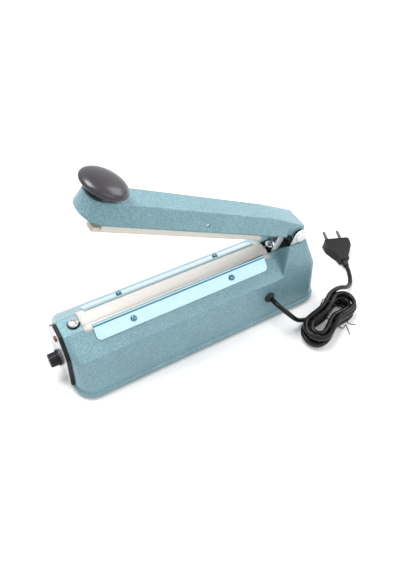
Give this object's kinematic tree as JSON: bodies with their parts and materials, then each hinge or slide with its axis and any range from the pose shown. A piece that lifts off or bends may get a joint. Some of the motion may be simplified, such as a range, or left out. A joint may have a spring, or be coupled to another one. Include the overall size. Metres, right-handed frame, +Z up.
{
  "type": "hand impulse heat sealer",
  "caption": "Hand-operated impulse heat sealer for plastic bags: cast body with a sprung arm, round push knob, heated jaw, timer dial and mains lead tied in a hank.",
  "frame": {"origin": "on the surface that it stands on, under the middle of the body's length and width, knob and rear lip included", "axes": "+X from the dial end to the hinge end, +Y away from the side where the lead comes out, +Z up"},
  "size_m": [0.4133, 0.1564, 0.25],
  "materials": {
    "hammertone": "hammertone stove enamel",
    "black_plastic": "satin",
    "knob_plastic": "polished, lightly worn",
    "bright_steel": "bright zinc plate",
    "clamp_steel": "rolled, half bright",
    "brushed_plate": "brushed",
    "white_bar": "white enamel",
    "silicone": "matt",
    "cloth": "woven glass coated with PTFE",
    "resistance": "plain drawn strip",
    "rubber": "matt",
    "cord_sheath": "satin PVC",
    "spring_steel": "oil blacked",
    "circuit_board": "solder mask",
    "copper_winding": "taped winding",
    "lamp": "translucent red, unlit"
  },
  "bodies": {
    "base": {"lower_housing": "hammertone", "base_plate": "bright_steel", "rubber_foot_1": "rubber", "rubber_foot_2": "rubber", "rubber_foot_3": "rubber", "rubber_foot_4": "rubber", "base_screw_1": "bright_steel", "base_screw_2": "bright_steel", "base_screw_3": "bright_steel", "base_screw_4": "bright_steel", "end_cap": "black_plastic", "dial_plate": "brushed_plate", "indicator_lamp": "lamp", "potentiometer": "bright_steel", "potentiometer_nut": "bright_steel", "circuit_board": "circuit_board", "relay": "black_plastic", "transformer_core": "spring_steel", "transformer_winding": "copper_winding", "microswitch_body": "black_plastic", "hinge_plate_near": "bright_steel", "hinge_plate_far": "bright_steel", "hinge_spacer_near": "black_plastic", "hinge_spacer_far": "black_plastic", "spring_stud_near": "bright_steel", "spring_stud_far": "bright_steel", "hinge_pin": "bright_steel", "pin_clip": "spring_steel", "return_spring": "spring_steel", "bed_strip": "silicone", "heating_element": "resistance", "ptfe_cloth": "cloth", "clamp_plate_near": "clamp_steel", "clamp_plate_far": "clamp_steel", "clamp_screw_1": "bright_steel", "clamp_screw_2": "bright_steel", "clamp_screw_3": "bright_steel", "clamp_screw_4": "bright_steel", "terminal_bush": "black_plastic", "terminal_block": "black_plastic", "terminal_screw_front": "bright_steel", "terminal_screw_rear": "bright_steel", "cord_grommet": "black_plastic", "mains_cord": "cord_sheath", "cord_hank": "cord_sheath", "cord_tail": "cord_sheath", "twist_tie": "black_plastic", "plug_body": "black_plastic", "plug_pin_1": "bright_steel", "plug_pin_2": "bright_steel"},
    "arm": {"upper_arm": "hammertone", "press_knob": "knob_plastic", "knob_screw": "bright_steel", "switch_striker": "bright_steel", "striker_screw": "bright_steel", "bar_pivot_pin": "bright_steel"},
    "pressure_jaw": {"pressure_bar": "white_bar", "silicone_strip": "silicone"},
    "timer_knob": {"timer_knob": "black_plastic"},
    "switch_plunger": {"microswitch_plunger": "black_plastic"}
  },
  "joints": [
    {"name": "arm_hinge", "type": "hinge", "parent": "base", "child": "arm", "pos_m": [0.12669, 0, 0.10074], "axis": [0, -1, 0], "range_deg": [0, 27.6], "stiffness_Nm_per_rad": 1.2, "springref_deg": -42.97, "deforming": ["return_spring"]},
    {"name": "pressure_bar_pivot", "type": "hinge", "parent": "arm", "child": "pressure_jaw", "pos_m": [0.00298, 0, 0.16801], "axis": [0, -1, 0], "range_deg": [-0.15, 0.15]},
    {"name": "timer_dial", "type": "hinge", "parent": "base", "child": "timer_knob", "pos_m": [-0.15385, 0, 0.0315], "axis": [1, 0, 0], "range_deg": [-120, 150]},
    {"name": "switch_press", "type": "slide", "parent": "base", "child": "switch_plunger", "axis": [0, 0, -1], "range_m": [0, 0.0012], "stiffness_N_per_m": 400, "springref_m": -0.0015}
  ]
}
